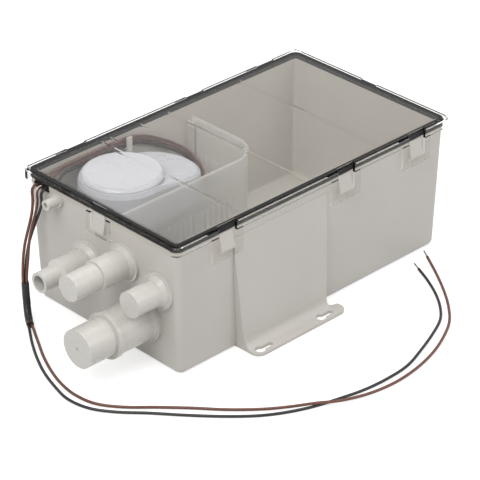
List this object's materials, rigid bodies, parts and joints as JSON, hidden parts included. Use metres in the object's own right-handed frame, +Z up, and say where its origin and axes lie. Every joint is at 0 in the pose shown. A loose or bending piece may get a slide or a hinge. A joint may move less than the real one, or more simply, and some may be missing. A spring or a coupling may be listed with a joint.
{
  "type": "shower sump pump",
  "caption": "Drafted plastic sump tub with a clear clip-on lid, hose fittings on one end, a strainer screen, a bilge pump with a float switch, mounting feet and loose supply wires.",
  "frame": {"origin": "centre of the tub's flat bottom face", "axes": "+X runs along the tub's length, so that the hose fittings point to -X, -Y is the front with the foot that the picture shows, and +Z is up through the lid"},
  "size_m": [0.4468, 0.3673, 0.139],
  "materials": {
    "tub_plastic": "ivory-grey moulded plastic, fine matte texture",
    "fitting_plastic": "cream moulded plastic with a satin sheen",
    "clear_plastic": "clear moulded polycarbonate with a faint warm smoky tint",
    "frosted_plastic": "frosted translucent moulded plastic",
    "gasket_rubber": "black closed-cell rubber, matte",
    "pump_plastic": "bluish white moulded plastic with a satin sheen",
    "cap_plastic": "bluish white moulded plastic, smooth",
    "label_film": "plain white label film",
    "impeller_plastic": "blue moulded plastic",
    "float_foam": "orange moulded foam",
    "stainless": "brushed stainless steel",
    "shaft_steel": "ground steel",
    "core_copper": "laminated steel core with varnished copper windings, drawn as one body",
    "copper": "bare copper segments",
    "bushing_bronze": "sintered bronze",
    "zinc": "zinc-plated pressed steel",
    "ferrite": "dark sintered ferrite",
    "fibre_board": "brown fibre board",
    "carbon": "pressed carbon",
    "brown_pvc": "brown wire insulation",
    "striped_pvc": "brown wire insulation with a white stripe",
    "black_pvc": "black wire insulation",
    "hose_rubber": "black rubber hose, matte",
    "tinned_copper": "tinned copper strands, dull"
  },
  "bodies": {
    "sump": {"sump_tub": "tub_plastic", "discharge_spigot": "fitting_plastic", "stepped_inlet": "fitting_plastic", "small_inlet": "fitting_plastic", "large_inlet": "fitting_plastic", "vent_nipple": "fitting_plastic", "pump_strainer_foot": "pump_plastic", "foot_retainers": "stainless", "pump_housing": "pump_plastic", "shaft_seal": "gasket_rubber", "lower_bushing": "bushing_bronze", "upper_bushing": "bushing_bronze", "motor_end_plate": "zinc", "motor_magnets": "ferrite", "motor_can": "zinc", "brush_holder": "fibre_board", "motor_brushes": "carbon", "motor_cap": "cap_plastic", "cap_label": "label_film", "float_stem": "pump_plastic", "discharge_hose": "hose_rubber", "lower_hose_clamp": "stainless", "upper_hose_clamp": "stainless", "cable_grommet": "gasket_rubber", "pump_cable_gland": "gasket_rubber", "inner_brown_wire": "brown_pvc", "inner_striped_wire": "striped_pvc", "inner_black_wire": "black_pvc", "pump_lead_brown": "brown_pvc", "pump_lead_striped": "striped_pvc", "pump_lead_black": "black_pvc", "splice_sleeve": "black_pvc", "supply_lead_black": "black_pvc", "supply_lead_brown": "brown_pvc", "black_bare_end": "tinned_copper", "brown_bare_end": "tinned_copper"},
    "lid": {"lid": "clear_plastic", "lid_snap_loops": "clear_plastic", "lid_gasket": "gasket_rubber"},
    "screen": {"strainer_screen": "frosted_plastic"},
    "rotor": {"motor_shaft": "shaft_steel", "armature": "core_copper", "commutator": "copper", "impeller": "impeller_plastic"},
    "float": {"float": "float_foam"}
  },
  "joints": [
    {"name": "lid_lift", "type": "slide", "parent": "sump", "child": "lid", "axis": [0, 0, 1], "range_m": [0, 0.2], "deforming": ["lid_snap_loops"]},
    {"name": "screen_lift", "type": "slide", "parent": "sump", "child": "screen", "axis": [0, 0, 1], "range_m": [0, 0.12]},
    {"name": "rotor_spin", "type": "hinge", "parent": "sump", "child": "rotor", "pos_m": [-0.104, 0.0494, 0.05], "axis": [0, 0, 1], "continuous": true},
    {"name": "float_rise", "type": "slide", "parent": "sump", "child": "float", "axis": [0, 0, 1], "range_m": [0, 0.012]}
  ],
  "couplings": [
    {"joint": "screen_lift", "follows": "lid_lift", "ratio": 0.6}
  ]
}
